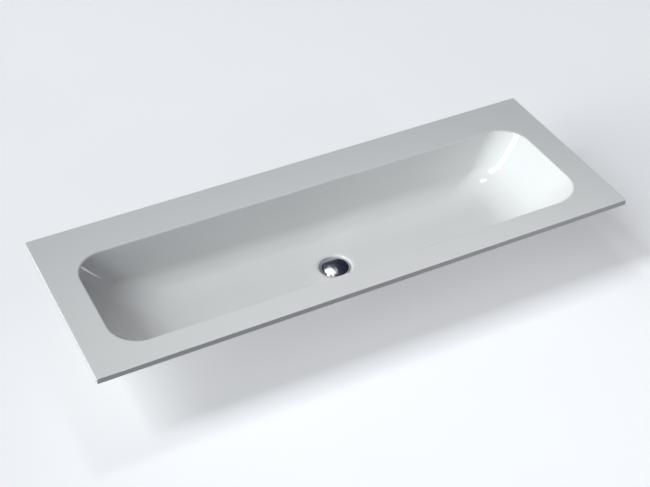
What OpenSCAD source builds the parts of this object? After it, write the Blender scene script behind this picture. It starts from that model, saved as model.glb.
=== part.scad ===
// Wide washbasin: one slim slab with a long trough bowl cast into it, carried by the countertop
// or cabinet that its rim lies on, and a push-open waste in the bowl's centre.
// Frame: origin at the centre of the slab's underside, +X along its width, +Y to the wall, +Z up.

/* [Slab] */
// Width of the slab, end to end
slab_w = 1200; // [1000:10:1500]
// Depth of the slab, front to back
slab_d = 445; // [410:5:520]
// Thickness of the slab
slab_t = 12.5; // [10:0.5:18]
// Radius of the slab's upright corners
slab_corner_r = 2; // [1:0.5:12]
// Radius of the roll round the slab's top and bottom edges
slab_edge_r = 1; // [0.5:0.25:3]

/* [Bowl] */
// Flat margin at each end of the bowl
end_margin = 63; // [40:1:150]
// Flat margin in front of the bowl
front_margin = 55.5; // [40:0.5:80]
// Flat margin behind the bowl
back_margin = 92.5; // [60:0.5:110]
// Depth of the bowl beside the drain, from the slab's top
bowl_depth = 111; // [90:1:140]
// Thickness of the bowl's walls and floor
wall_t = 10; // [8:0.5:14]
// Radius of the roll over the bowl's rim
rim_roll_r = 4; // [2:0.5:8]
// Corner radius of the bowl at its rim, seen from above
rim_corner_r = 68; // [50:1:80]
// Largest corner radius of the bowl at its floor, seen from above
foot_corner_r = 70; // [45:1:80]
// Lean of the back wall from upright, in degrees
back_draft = 16; // [8:0.5:24]
// Lean of the front wall from upright, in degrees
front_draft = 22; // [8:0.5:28]
// Lean of the end walls from upright, in degrees
end_draft = 40; // [20:0.5:45]
// Radius of the fillet between a long wall and the floor
side_fillet_r = 46; // [25:1:56]
// Radius of the fillet between an end wall and the floor
end_fillet_r = 132; // [80:2:150]
// How far from the drain's axis the floor's front and back slopes begin
side_slope_start = 40; // [30:1:60]
// Rise of the floor towards its front and back, as a share of the run
side_slope_share = 0.096; // [0.04:0.004:0.14]
// How far from the drain's axis the floor's end slopes begin
end_slope_start = 20; // [10:5:60]
// Rise of the floor towards its ends, as a share of the run
end_slope_share = 0.008; // [0.006:0.002:0.02]
// Softness of the creases between the floor's slopes
crease_soft = 0.5; // [0.3:0.1:1.5]

/* [Drain recess] */
// Radius of the sunk ring that the waste sits in
recess_r = 35; // [33.5:0.5:38]
// Depth of the recess below the bowl's floor
recess_depth = 12; // [10:0.5:14]
// Width of the soft roll over the recess's lip
recess_roll_w = 9; // [4:0.5:10]
// Height of that roll
recess_roll_h = 3.5; // [2:0.5:5]
// Radius of the hole for the waste's tail
drain_hole_r = 23; // [22.5:0.25:24]
// Thickness left under the recess
recess_floor_t = 10; // [8:0.5:14]
// Width of the boss's ring outside the recess
boss_wall_t = 9.5; // [7:0.5:12]

/* [Waste] */
// Radius of the waste's flange
flange_r = 32; // [31:0.25:33]
// Thickness of the flange at its rim
flange_t = 2.5; // [2:0.25:3]
// Width of the flat rim of the flange's dished face
flange_land = 1.5; // [1:0.25:2.5]
// Fall of the flange's dished face, from its rim in to its shoulder
dish_fall = 1.2; // [0.6:0.1:1.4]
// Radius of the shoulder that centres the flange in the drain hole
shoulder_r = 22.3; // [21.8:0.1:22.4]
// Height of the shoulder
shoulder_h = 4; // [3.5:0.25:5]
// Fall of the cone from the shoulder in to the tail's bore
throat_fall = 3.3; // [2.5:0.1:3.6]
// Outer radius of the tail over its thread, a 1 1/4 inch pipe thread
tail_r = 20.95; // [20.9:0.01:21]
// Inner radius of the tail
tail_bore_r = 18; // [16.5:0.25:18.5]
// Length of the tail below the flange
tail_len = 75; // [65:1:95]
// Width of the groove that parts the back nut's thread from the trap's
tail_groove_w = 2.5; // [1:0.5:3]
// Depth of that groove
tail_groove_t = 0.6; // [0.4:0.1:1]
// Distance from the flange's underside down to the bridge in the tail
bridge_drop = 37; // [36:0.5:44]
// Height of the bridge
bridge_h = 8; // [6:0.5:10]
// Width of the bridge's spokes
spoke_t = 3; // [2.5:0.25:4]
// Radius of the hub at the bridge's centre
hub_r = 7; // [6:0.5:9]
// Number of spokes
spoke_count = 4; // [3:1:6]

/* [Seals and nut] */
// Thickness of the seal under the flange
flange_seal_t = 1.5; // [1:0.25:2.5]
// Thickness of the tapered seal under the basin
tail_seal_t = 8; // [6:0.5:10]
// Outer radius of the tapered seal where it meets the basin
tail_seal_r = 31; // [28:0.5:34]
// Height of the seal's nose in the drain hole
seal_nose_h = 4; // [2:0.5:6]
// Thickness of the slip washer
slip_washer_t = 2; // [1:0.25:3]
// Thickness of the back nut
nut_t = 9; // [7:0.5:12]
// Width of the back nut across its flats
nut_af = 54; // [50:1:60]

/* [Plug] */
// Radius of the cap
cap_r = 31; // [29:0.25:32]
// Height of the slight crown on the cap's top
cap_crown = 0.5; // [0.3:0.1:1.5]
// Width of the round shoulder between the crown and the cap's edge
cap_shoulder_w = 4; // [3:0.5:6]
// Height of that shoulder
cap_shoulder_h = 3; // [2:0.25:4]
// Thickness of the cap's edge
cap_edge_t = 1.6; // [1.2:0.1:2.5]
// How far the seat of the plug's seal lies below the top of the cap's edge
cap_seat_drop = 0.4; // [0:0.1:0.6]
// Thickness of the cap's shell
cap_t = 1.8; // [1.4:0.1:2.2]
// Distance that the plug rises when it is pushed open
plug_travel = 8; // [5:0.5:10]
// Outer radius of the plug's seal
plug_seal_r = 27; // [25:0.5:28]
// Outer radius of the collar that carries the seal
collar_r = 21; // [20:0.5:22]
// Thickness of the collar
collar_t = 2; // [1.5:0.25:3]
// Radius of the stem, over its thread
stem_r = 3; // [2.5:0.25:4]
// Width of the lock nut across its flats
lock_nut_af = 10; // [9:0.5:13]
// Thickness of the lock nut
lock_nut_t = 2.8; // [2:0.2:4]

/* [Latch cartridge] */
// Bore radius of the cartridge's housing
housing_bore_r = 8; // [7:0.25:9]
// Wall thickness of the housing
housing_wall = 2.5; // [2:0.25:3]
// Thickness of the housing's floor
housing_floor_t = 2; // [1.5:0.25:3]
// Radius of the threaded spigot that screws into the hub
spigot_r = 4; // [3:0.25:5]
// Thickness of the lid's top
lid_t = 2; // [1.5:0.25:3]
// Height of the lid's plug inside the housing
lid_plug_h = 1.5; // [1:0.25:2.5]
// Radius of the plunger's neck
neck_r = 4.9; // [4.2:0.1:5.5]
// Height of the plunger's body
plunger_h = 12; // [10:0.5:14]
// Section radius of the bumper ring on the plunger
bumper_r = 0.75; // [0.6:0.05:1]
// Length of the latch spring when the plug is shut
spring_shut_len = 8; // [7:0.5:10]
// Radius of the spring's wire
spring_wire_r = 0.4; // [0.3:0.05:0.5]
// Number of turns in the spring
spring_turns = 6; // [4:1:7]
// Radius of the latch pin's wire
pin_r = 0.6; // [0.5:0.05:0.8]

/* [Hidden] */

// Clearances: still pieces side by side, sliding pieces, and faces that meet as the plug shuts
fit_gap = 0.05;
slide_gap = 0.1;
shut_gap = 0.3;
// How far a cutting shape runs past the face it cuts
cut_over = 1;
fine = 96;

// Divisions of the bowl's skin
long_steps = 16;
short_steps = 8;
corner_steps = 9;
roll_steps = 3;
wall_steps = 2;
fillet_steps = 7;
floor_steps = 7;
outer_fillet_steps = 5;
outer_floor_steps = 3;
edge_steps = 2;

// Where the bowl lies in the slab
bowl_half_w = slab_w / 2 - end_margin;
bowl_back_y = slab_d / 2 - back_margin;
bowl_front_y = front_margin - slab_d / 2;
drain_y = (bowl_back_y + bowl_front_y) / 2;
floor_z = slab_t - bowl_depth;
boss_r = recess_r + boss_wall_t;
flat_r = boss_r + rim_roll_r;
flat_fade = flat_r * 2;

// Heights of the waste, from the recess down
recess_z = floor_z - recess_depth;
boss_z = recess_z - recess_floor_t;
flange_under_z = recess_z + flange_seal_t;
flange_top_z = flange_under_z + flange_t;
dish_z = flange_top_z - dish_fall;
throat_z = dish_z - throat_fall;
tail_end_z = flange_under_z - tail_len;
bridge_top_z = flange_under_z - bridge_drop;
tail_seal_z = boss_z - tail_seal_t;
slip_washer_z = tail_seal_z - slip_washer_t;
nut_z = slip_washer_z - nut_t;
groove_top_z = nut_z - nut_t / 4;
groove_low_z = groove_top_z - tail_groove_w;

// Heights of the plug and of the cartridge under it
cap_edge_z = flange_top_z + shut_gap;
cap_shoulder_z = cap_edge_z + cap_edge_t;
crown_z = cap_shoulder_z + cap_shoulder_h;
cap_top_z = crown_z + cap_crown;
crown_r = cap_r - cap_shoulder_w;
crown_ball_r = (crown_r * crown_r + cap_crown * cap_crown) / (2 * cap_crown);
seat_z = cap_edge_z + cap_edge_t - cap_seat_drop;
housing_base_z = bridge_top_z + housing_floor_t;
plunger_z = housing_base_z + spring_shut_len;
shoulder_z = plunger_z + plunger_h;
lid_under_z = shoulder_z + 2 * bumper_r + plug_travel + shut_gap;
housing_top_z = lid_under_z + lid_plug_h;
lid_top_z = housing_top_z + lid_t;
neck_top_z = lid_top_z + shut_gap;
boss_under_z = neck_top_z + lock_nut_t;
housing_r = housing_bore_r + housing_wall;
plunger_r = housing_bore_r - slide_gap;
stem_depth = plunger_h / 3;
pin_low_z = plunger_z - plunger_h / 4;
pin_high_z = shoulder_z - plunger_h / 4;
pin_y = housing_bore_r + pin_r;

// Mixing two values by a share
function mix(a, b, share) = a + (b - a) * share;

// How far the floor rises above the drain's level at a place: four planes, softly joined, that
// fade to a true flat round the drain
function rise(x, y) = let(
        away = norm([x, y - drain_y]),
        side = side_slope_share * (abs(y - drain_y) - side_slope_start),
        end = end_slope_share * (abs(x) - end_slope_start),
        fade = min(1, max(0, (away - flat_r) / flat_fade)))
    crease_soft * ln(1 + exp(side / crease_soft) + exp(end / crease_soft)) * fade * fade * (3 - 2 * fade);

// Slope of the floor along a direction, as an angle
function slope(x, y, along) = let(step = along * rim_roll_r)
    atan((rise(x + step.x, y + step.y) - rise(x - step.x, y - step.y)) / (2 * rim_roll_r));

// Section of the bowl's inner side, as steps in from the rim and heights from the slab's top
function inner_section(draft, fillet, drop, foot) = let(
        down = [sin(draft), -cos(draft)],
        start = rim_roll_r * [cos(draft), sin(draft) - 1],
        run = (start.y + fillet * (sin(draft) - cos(foot)) + drop) / cos(draft),
        centre = start + run * down + fillet * [cos(draft), sin(draft)])
    concat(
        [for (i = [0 : roll_steps]) let(a = (90 - draft) * i / roll_steps) rim_roll_r * [sin(a), cos(a) - 1]],
        [for (i = [1 : wall_steps]) start + run * i / wall_steps * down],
        [for (i = [1 : fillet_steps]) let(a = mix(draft, 90 - foot, i / fillet_steps))
            centre - fillet * [cos(a), sin(a)]]);

// Section of the bowl's outer side, one wall thickness away, from the slab's underside down
function outer_section(draft, fillet, drop, foot) = let(
        down = [sin(draft), -cos(draft)],
        out = [cos(draft), sin(draft)],
        start = rim_roll_r * [cos(draft), sin(draft) - 1],
        run = (start.y + fillet * (sin(draft) - cos(foot)) + drop) / cos(draft),
        first = (start.y - wall_t * sin(draft) + slab_t) / cos(draft),
        centre = start + run * down + fillet * out)
    concat(
        [for (i = [0 : wall_steps]) start + mix(first, run, i / wall_steps) * down - wall_t * out],
        [for (i = [1 : outer_fillet_steps]) let(a = mix(draft, 90 - foot, i / outer_fillet_steps))
            centre - (fillet + wall_t) * [cos(a), sin(a)]]);

// A section at one place of the rim: found first for the drain's level, then for the floor that
// its foot meets. The place is a function of the step in from the rim.
function place(side, share, step) =
    side == "back" ? [mix(1, -1, share) * (bowl_half_w - end_foot - foot_r), bowl_back_y - step] :
    side == "front" ? [mix(-1, 1, share) * (bowl_half_w - end_foot - foot_r), bowl_front_y + step] :
    let(near = bowl_front_y + front_foot + foot_r, far = bowl_back_y - back_foot - foot_r)
    side == "right" ? [bowl_half_w - step, mix(near, far, share)] :
    [step - bowl_half_w, mix(far, near, share)];
function outward(side) = side == "back" ? [0, 1] : side == "front" ? [0, -1] : side == "right" ? [1, 0] : [-1, 0];
function draft_of(side) = side == "back" ? back_draft : side == "front" ? front_draft : end_draft;
function fillet_of(side) = side == "back" || side == "front" ? side_fillet_r : end_fillet_r;
function last_step(section) = section[len(section) - 1].x;
function rough_foot(side) = last_step(inner_section(draft_of(side), fillet_of(side), bowl_depth, 0));
back_foot = rough_foot("back");
front_foot = rough_foot("front");
end_foot = rough_foot("right");
foot_r = min(foot_corner_r, (bowl_back_y - bowl_front_y - back_foot - front_foot) / 2 - rim_roll_r);
function foot_data(side, share, step) = let(p = place(side, share, step))
    [bowl_depth - rise(p.x, p.y), slope(p.x, p.y, outward(side))];
function settled(side, share) = let(
        first = foot_data(side, share, rough_foot(side)),
        step = last_step(inner_section(draft_of(side), fillet_of(side), first[0], first[1])))
    foot_data(side, share, step);
function inner_at(side, share) = let(f = settled(side, share))
    inner_section(draft_of(side), fillet_of(side), f[0], f[1]);
function outer_at(side, share) = let(f = settled(side, share))
    outer_section(draft_of(side), fillet_of(side), f[0], f[1]);

// All sections round the rim, side by side: right end, back, left end, front
function sections(inner) = [for (side = ["right", "back", "left", "front"])
    let(steps = side == "right" || side == "left" ? short_steps : long_steps)
    [for (i = [0 : steps]) inner ? inner_at(side, i / steps) : outer_at(side, i / steps)]];

// One ring of the bowl's skin: straight runs along the four sides, joined by round corners
function ring(table, level, r) = let(
        right = table[0], back = table[1], left = table[2], front = table[3],
        ends = [for (s = [right, back, left, front]) [s[0][level], s[len(s) - 1][level]]])
    concat(
        side_run("right", right, level, r, ends), corner(0, ends[0][1], ends[1][0], r),
        side_run("back", back, level, r, ends), corner(1, ends[2][0], ends[1][1], r),
        side_run("left", left, level, r, ends), corner(2, ends[2][1], ends[3][0], r),
        side_run("front", front, level, r, ends), corner(3, ends[0][0], ends[3][1], r));
function side_run(side, s, level, r, ends) = let(
        n = len(s) - 1,
        x_right = bowl_half_w - ends[0][1].x - r,
        y_back = bowl_back_y - ends[1][0].x - r,
        y_front = bowl_front_y + ends[3][0].x + r)
    [for (i = [0 : n - 1]) let(q = s[i][level], share = i / n, z = slab_t + q.y)
        side == "right" ? [bowl_half_w - q.x, mix(y_front, y_back, share), z] :
        side == "back" ? [mix(x_right, -x_right, share), bowl_back_y - q.x, z] :
        side == "left" ? [q.x - bowl_half_w, mix(y_back, y_front, share), z] :
        [mix(-x_right, x_right, share), bowl_front_y + q.x, z]];
function corner(quarter, at_end, at_side, r) = let(
        sign_x = quarter == 0 || quarter == 3 ? 1 : -1,
        sign_y = quarter < 2 ? 1 : -1,
        cx = sign_x * (bowl_half_w - at_end.x - r),
        cy = sign_y > 0 ? bowl_back_y - at_side.x - r : bowl_front_y + at_side.x + r)
    [for (i = [0 : corner_steps - 1]) let(
            a = 90 * (quarter + i / corner_steps),
            toward_side = pow(sin(a), 2))
        [cx + r * cos(a), cy + r * sin(a), slab_t + mix(at_end.y, at_side.y, toward_side)]];

// Rings of the inner side, from the rim down to the floor's edge
function depth_share(table, level) = let(s = table[1][long_steps / 2]) s[level].y / s[len(s) - 1].y;
function skin(table, extra) = [for (level = [0 : len(table[1][0]) - 1])
    ring(table, level, extra + mix(rim_corner_r, foot_r, max(0, depth_share(table, level))))];

// Rings of the floor, drawn in from its edge to the flat round the drain
function floor_rings(edge, steps, below) = [for (m = [1 : steps]) let(share = m / steps)
    [for (p = edge) let(
            away = [p.x, p.y - drain_y],
            to = flat_r * away / norm(away) + [0, drain_y],
            q = mix([p.x, p.y], to, share))
        [q.x, q.y, floor_z + rise(q.x, q.y) - below]]];

// Rings of the slab's edge, from its top face down and round to its underside
function slab_ring(inset, z) = let(
        r = max(slab_corner_r - inset, slab_edge_r / 4),
        hw = slab_w / 2 - inset - r,
        hd = slab_d / 2 - inset - r,
        line = function(a, b, n) [for (i = [0 : n - 1]) mix(a, b, i / n)],
        arc = function(c, from) [for (i = [0 : corner_steps - 1])
            c + r * [cos(from + 90 * i / corner_steps), sin(from + 90 * i / corner_steps)]])
    [for (p = concat(
            line([hw + r, -hd], [hw + r, hd], short_steps), arc([hw, hd], 0),
            line([hw, hd + r], [-hw, hd + r], long_steps), arc([-hw, hd], 90),
            line([-hw - r, hd], [-hw - r, -hd], short_steps), arc([-hw, -hd], 180),
            line([-hw, -hd - r], [hw, -hd - r], long_steps), arc([hw, -hd], 270)))
        [p.x, p.y, z]];
function slab_rings() = concat(
    [for (i = [0 : edge_steps]) let(a = 90 * i / edge_steps)
        slab_ring(slab_edge_r * (1 - sin(a)), slab_t - slab_edge_r * (1 - cos(a)))],
    [for (i = [0 : edge_steps]) let(a = 90 * i / edge_steps)
        slab_ring(slab_edge_r * (1 - cos(a)), slab_edge_r * (1 - sin(a)))]);

// A closed skin over rings of equal count, with a flat face across each end
module skinned(rings) {
    n = len(rings[0]);
    last = len(rings) - 1;
    sides = [for (k = [0 : last - 1], i = [0 : n - 1]) let(
            a = k * n + i, b = k * n + (i + 1) % n, c = b + n, d = a + n)
        each [[a, b, c], [a, c, d]]];
    polyhedron(
        points = [for (r = rings) each r],
        faces = concat(sides, [[for (i = [n - 1 : -1 : 0]) i], [for (i = [0 : n - 1]) last * n + i]]));
}

module basin() {
    inner = skin(sections(true), 0);
    outer = skin(sections(false), wall_t);
    inner_floor = floor_rings(inner[len(inner) - 1], floor_steps, 0);
    outer_floor = floor_rings(outer[len(outer) - 1], outer_floor_steps, wall_t);
    reversed = function(list) [for (i = [len(list) - 1 : -1 : 0]) list[i]];
    color("whitesmoke") difference() {
        union() {
            skinned(concat(reversed(inner_floor), reversed(inner), slab_rings(), outer, outer_floor));
            translate([0, drain_y, boss_z]) cylinder(r = boss_r, h = floor_z - wall_t / 2 - boss_z, $fn = fine);
        }
        translate([0, drain_y, 0]) rotate_extrude($fn = fine) polygon(concat(
            [[0, floor_z + cut_over], [recess_r + recess_roll_w, floor_z + cut_over]],
            [for (i = [0 : fillet_steps]) let(a = 90 * i / fillet_steps)
                [recess_r + recess_roll_w * (1 - sin(a)), floor_z - recess_roll_h * (1 - cos(a))]],
            [[recess_r, recess_z], [drain_hole_r, recess_z], [drain_hole_r, boss_z - cut_over],
                [0, boss_z - cut_over]]));
    }
}

// A ring turned about the waste's axis, from an outline of radii and heights
module turned(outline) {
    translate([0, drain_y, 0]) rotate_extrude($fn = fine) polygon(outline);
}

// Outline of a plain washer
function washer(inner_r, outer_r, low, high) = [[inner_r, low], [outer_r, low], [outer_r, high], [inner_r, high]];

module waste_body() {
    color("silver") difference() {
        union() {
            turned([[tail_bore_r, throat_z], [shoulder_r, dish_z], [flange_r - flange_land, flange_top_z],
                [flange_r, flange_top_z], [flange_r, flange_under_z], [shoulder_r, flange_under_z],
                [shoulder_r, flange_under_z - shoulder_h], [tail_r, flange_under_z - shoulder_h],
                [tail_r, groove_top_z], [tail_r - tail_groove_t, groove_top_z],
                [tail_r - tail_groove_t, groove_low_z], [tail_r, groove_low_z],
                [tail_r, tail_end_z], [tail_bore_r, tail_end_z]]);
            translate([0, drain_y, bridge_top_z - bridge_h]) {
                cylinder(r = hub_r, h = bridge_h, $fn = fine);
                for (i = [0 : spoke_count - 1]) rotate(360 * (i + 0.5) / spoke_count)
                    translate([(spigot_r + hub_r) / 2, -spoke_t / 2, 0])
                        cube([(tail_r + tail_bore_r - spigot_r - hub_r) / 2, spoke_t, bridge_h]);
            }
        }
        translate([0, drain_y, bridge_top_z - bridge_h - cut_over])
            cylinder(r = spigot_r + fit_gap, h = bridge_h + 2 * cut_over, $fn = fine);
    }
}

module flange_seal() {
    color("dimgray") turned(washer(shoulder_r + fit_gap, flange_r - flange_land, recess_z, flange_under_z));
}

module tail_seal() {
    color("dimgray") turned([
        [tail_r + fit_gap, tail_seal_z], [(tail_r + tail_seal_r) / 2, tail_seal_z], [tail_seal_r, boss_z],
        [drain_hole_r - fit_gap, boss_z], [drain_hole_r - 2 * fit_gap, boss_z + seal_nose_h],
        [tail_r + fit_gap, boss_z + seal_nose_h]]);
}

module slip_washer() {
    color("white") turned(washer(tail_r + fit_gap, tail_seal_r - flange_land, slip_washer_z, tail_seal_z));
}

// A six-sided nut with bevelled corners
module hex_nut(af, bore, t) {
    point_r = af / 2 / cos(30);
    bevel = (point_r - af / 2) / 2;
    difference() {
        intersection() {
            cylinder(r = point_r, h = t, $fn = 6);
            rotate_extrude($fn = fine) polygon([[0, 0], [af / 2, 0], [point_r, bevel], [point_r, t - bevel],
                [af / 2, t], [0, t]]);
        }
        translate([0, 0, -cut_over]) cylinder(r = bore, h = t + 2 * cut_over, $fn = fine);
    }
}

module back_nut() {
    color("goldenrod") translate([0, drain_y, nut_z]) hex_nut(nut_af, tail_r + fit_gap, nut_t);
}

module cartridge_housing() {
    color("gainsboro") difference() {
        turned([[0, bridge_top_z - bridge_h], [spigot_r, bridge_top_z - bridge_h], [spigot_r, bridge_top_z],
            [housing_r, bridge_top_z], [housing_r, housing_top_z], [housing_bore_r, housing_top_z],
            [housing_bore_r, housing_base_z], [0, housing_base_z]]);
        translate([0, drain_y - pin_y, (pin_low_z + pin_high_z) / 2])
            cube([2 * pin_r + 2 * fit_gap, 2 * pin_r + 2 * fit_gap + housing_wall / 2, pin_high_z - pin_low_z
                + 4 * pin_r], center = true);
        translate([0, drain_y - pin_y, pin_low_z]) rotate([90, 0, 0])
            cylinder(r = pin_r + fit_gap, h = housing_wall, $fn = fine);
    }
}

module cartridge_lid() {
    color("gainsboro") turned([[neck_r + slide_gap, lid_under_z], [housing_bore_r - fit_gap, lid_under_z],
        [housing_bore_r - fit_gap, housing_top_z], [housing_r, housing_top_z], [housing_r, lid_top_z],
        [neck_r + slide_gap, lid_top_z]]);
}

// The latch pin: its foot is held in the housing, and its tip runs in the plunger's track
module latch_pin() {
    color("silver") translate([0, drain_y, 0]) {
        translate([0, -pin_y, pin_low_z]) {
            cylinder(r = pin_r, h = pin_high_z - pin_low_z, $fn = fine);
            sphere(r = pin_r, $fn = fine);
            rotate([90, 0, 0]) cylinder(r = pin_r, h = housing_wall - pin_r, $fn = fine);
        }
        translate([0, -pin_y, pin_high_z]) {
            sphere(r = pin_r, $fn = fine);
            rotate([-90, 0, 0]) cylinder(r = pin_r, h = 4 * pin_r, $fn = fine);
        }
    }
}

module latch_plunger() {
    color("white") difference() {
        turned([[0, plunger_z], [plunger_r, plunger_z], [plunger_r, shoulder_z], [neck_r, shoulder_z],
            [neck_r, neck_top_z], [stem_r + fit_gap, neck_top_z],
            [stem_r + fit_gap, shoulder_z + stem_depth], [0, shoulder_z + stem_depth]]);
        translate([0, drain_y - plunger_r, (plunger_z + pin_high_z + 2 * pin_r) / 2])
            cube([2 * (pin_r + shut_gap), 8 * pin_r, pin_high_z + 2 * pin_r - plunger_z + 2 * fit_gap], center = true);
    }
}

module bumper_ring() {
    color("dimgray") translate([0, drain_y, shoulder_z + bumper_r]) rotate_extrude($fn = fine)
        translate([neck_r + bumper_r + fit_gap, 0]) circle(r = bumper_r, $fn = fine);
}

// The spring is one unbroken wire that climbs in even turns between flat-lying ends
spring_r = housing_bore_r - housing_wall;
spring_sides = 6;
spring_turn_steps = 16;
function spring_point(turn) = [spring_r * cos(360 * turn), spring_r * sin(360 * turn),
    mix(housing_base_z + spring_wire_r, plunger_z - spring_wire_r, turn / spring_turns)];
module latch_spring() {
    count = spring_turns * spring_turn_steps;
    rings = [for (i = [0 : count]) let(turn = i / spring_turn_steps, c = spring_point(turn))
        [for (k = [0 : spring_sides - 1]) let(a = -360 * k / spring_sides)
            c + spring_wire_r * [cos(a) * cos(360 * turn), cos(a) * sin(360 * turn), sin(a)]
                + [0, drain_y, 0]]];
    color("silver") skinned(rings);
}

module plug_stem() {
    color("goldenrod") translate([0, drain_y, shoulder_z + stem_depth + fit_gap])
        cylinder(r = stem_r, h = cap_top_z - 2 * cap_t - shoulder_z - stem_depth, $fn = fine);
}

module lock_nut() {
    color("goldenrod") translate([0, drain_y, neck_top_z]) hex_nut(lock_nut_af, stem_r + fit_gap, lock_nut_t);
}

// Height of the crown's outer face at a radius
function face_of_crown(r) = cap_top_z - crown_ball_r + sqrt(crown_ball_r * crown_ball_r - r * r);
module plug_cap() {
    stem_end_z = cap_top_z - 2 * cap_t + 2 * fit_gap;
    boss_out_r = stem_r + collar_t;
    color("lightgray") difference() {
        turned(concat(
            [for (i = [0 : fillet_steps]) let(r = crown_r * i / fillet_steps) [r, face_of_crown(r)]],
            [for (i = [1 : fillet_steps]) let(a = 90 * i / fillet_steps)
                [crown_r + cap_shoulder_w * sin(a), cap_shoulder_z + cap_shoulder_h * cos(a)]],
            [[cap_r, cap_edge_z], [cap_r - cap_edge_t, cap_edge_z], [cap_r - 2 * cap_edge_t, seat_z],
                [collar_r, seat_z], [collar_r, seat_z - cap_t], [collar_r - collar_t, seat_z - cap_t],
                [collar_r - collar_t, face_of_crown(collar_r - collar_t) - cap_t],
                [boss_out_r, face_of_crown(boss_out_r) - cap_t],
                [boss_out_r, boss_under_z], [0, boss_under_z]]));
        translate([0, drain_y, boss_under_z - cut_over])
            cylinder(r = stem_r + fit_gap, h = stem_end_z - boss_under_z + cut_over, $fn = fine);
    }
}

// Height of the flange's dished face at a radius
function face_z(r) = mix(dish_z, flange_top_z, (r - shoulder_r) / (flange_r - flange_land - shoulder_r));
module plug_seal() {
    color("dimgray") turned([[collar_r + fit_gap, seat_z], [plug_seal_r, seat_z],
        [plug_seal_r, face_z(plug_seal_r) + shut_gap], [shoulder_r, dish_z + shut_gap],
        [collar_r + fit_gap, dish_z + shut_gap]]);
}

basin();
waste_body();
flange_seal();
tail_seal();
slip_washer();
back_nut();
cartridge_housing();
cartridge_lid();
latch_spring();
latch_pin();
latch_plunger();
bumper_ring();
plug_stem();
lock_nut();
plug_cap();
plug_seal();
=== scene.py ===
# %% [markdown]
# # A slim countertop basin with a push-open waste
#
# The object is one long white casting: a thin flat slab with a trough bowl hanging from it, and a
# chrome plug sunk in a round recess. Under it hang the waste's tail, its seals and its nut.
# The CAD model gives every size. Here each piece gets its fine shape and its finish.

import math

import bmesh
import bpy
import numpy as np
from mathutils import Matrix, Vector


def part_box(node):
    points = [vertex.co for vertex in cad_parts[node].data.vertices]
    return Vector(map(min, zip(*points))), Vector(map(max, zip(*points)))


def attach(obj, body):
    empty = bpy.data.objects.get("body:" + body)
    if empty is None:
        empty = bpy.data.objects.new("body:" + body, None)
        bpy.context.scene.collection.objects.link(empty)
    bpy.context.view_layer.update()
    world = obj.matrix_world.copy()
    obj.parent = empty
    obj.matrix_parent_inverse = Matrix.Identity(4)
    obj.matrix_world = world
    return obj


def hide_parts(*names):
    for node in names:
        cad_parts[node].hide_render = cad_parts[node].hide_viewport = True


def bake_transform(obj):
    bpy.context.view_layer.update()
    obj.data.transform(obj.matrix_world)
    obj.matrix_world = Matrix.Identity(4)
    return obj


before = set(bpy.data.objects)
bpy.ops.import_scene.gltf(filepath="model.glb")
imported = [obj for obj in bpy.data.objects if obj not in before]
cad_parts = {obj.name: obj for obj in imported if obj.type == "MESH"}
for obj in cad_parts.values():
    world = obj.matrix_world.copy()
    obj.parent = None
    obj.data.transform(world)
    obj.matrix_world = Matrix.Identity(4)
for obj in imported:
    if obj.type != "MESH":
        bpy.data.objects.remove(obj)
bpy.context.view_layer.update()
MM = 0.001
print("CAD nodes:", len(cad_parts))

# %% [markdown]
# ## Camera
#
# A product shot of this kind is taken with a long lens from above one corner. A camera could be
# placed by eye, but here its direction, height and distance were worked out from the slab's four
# corners, so it is placed by numbers: a point that it looks at, two angles and a distance.

# %% Put a new object in the scene, and aim a camera or a lamp
def in_scene(name, data):
    made = bpy.data.objects.new(name, data)
    bpy.context.collection.objects.link(made)
    return made


def look_along(made, place, direction):
    """Puts a camera or a lamp at a place and aims it along a direction, upright."""
    made.location = place
    made.rotation_euler = direction.to_track_quat("-Z", "Y").to_euler()


# %% Place the camera
look_at = Vector((-45.8, -60.9, 12.5)) * MM
azimuth, elevation, distance = math.radians(-26.84), math.radians(39.61), 2.785
away = Vector((math.sin(azimuth) * math.cos(elevation),
               -math.cos(azimuth) * math.cos(elevation),
               math.sin(elevation)))
camera = in_scene("camera", bpy.data.cameras.new("camera"))
look_along(camera, look_at + away * distance, -away)
camera.data.lens = 74.5
camera.data.sensor_width = 36
bpy.context.scene.camera = camera
print("camera at", [round(v, 3) for v in camera.location])

# %% [markdown]
# ## Sizes
#
# The slab and the heights of the waste are read from the CAD nodes' boxes, so a change in the CAD
# model carries over. The bowl's drafts and fillets can't be read from a box, so they are repeated.

# %% Read the sizes from the CAD boxes, in millimetres
def node_box(node):
    low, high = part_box(node)
    return np.array(low) / MM, np.array(high) / MM


slab_low, slab_high = node_box("basin")
slab_half_w, slab_half_d, slab_top = slab_high
slab_t, slab_corner_r, slab_edge_r = 12.5, 2.0, 1.0
boss_z = slab_low[2]
tail_low, tail_high = node_box("waste_body")
drain_y = (tail_low[1] + tail_high[1]) / 2
print("slab", slab_half_w * 2, slab_half_d * 2, "boss", boss_z, "drain y", drain_y)

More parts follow.
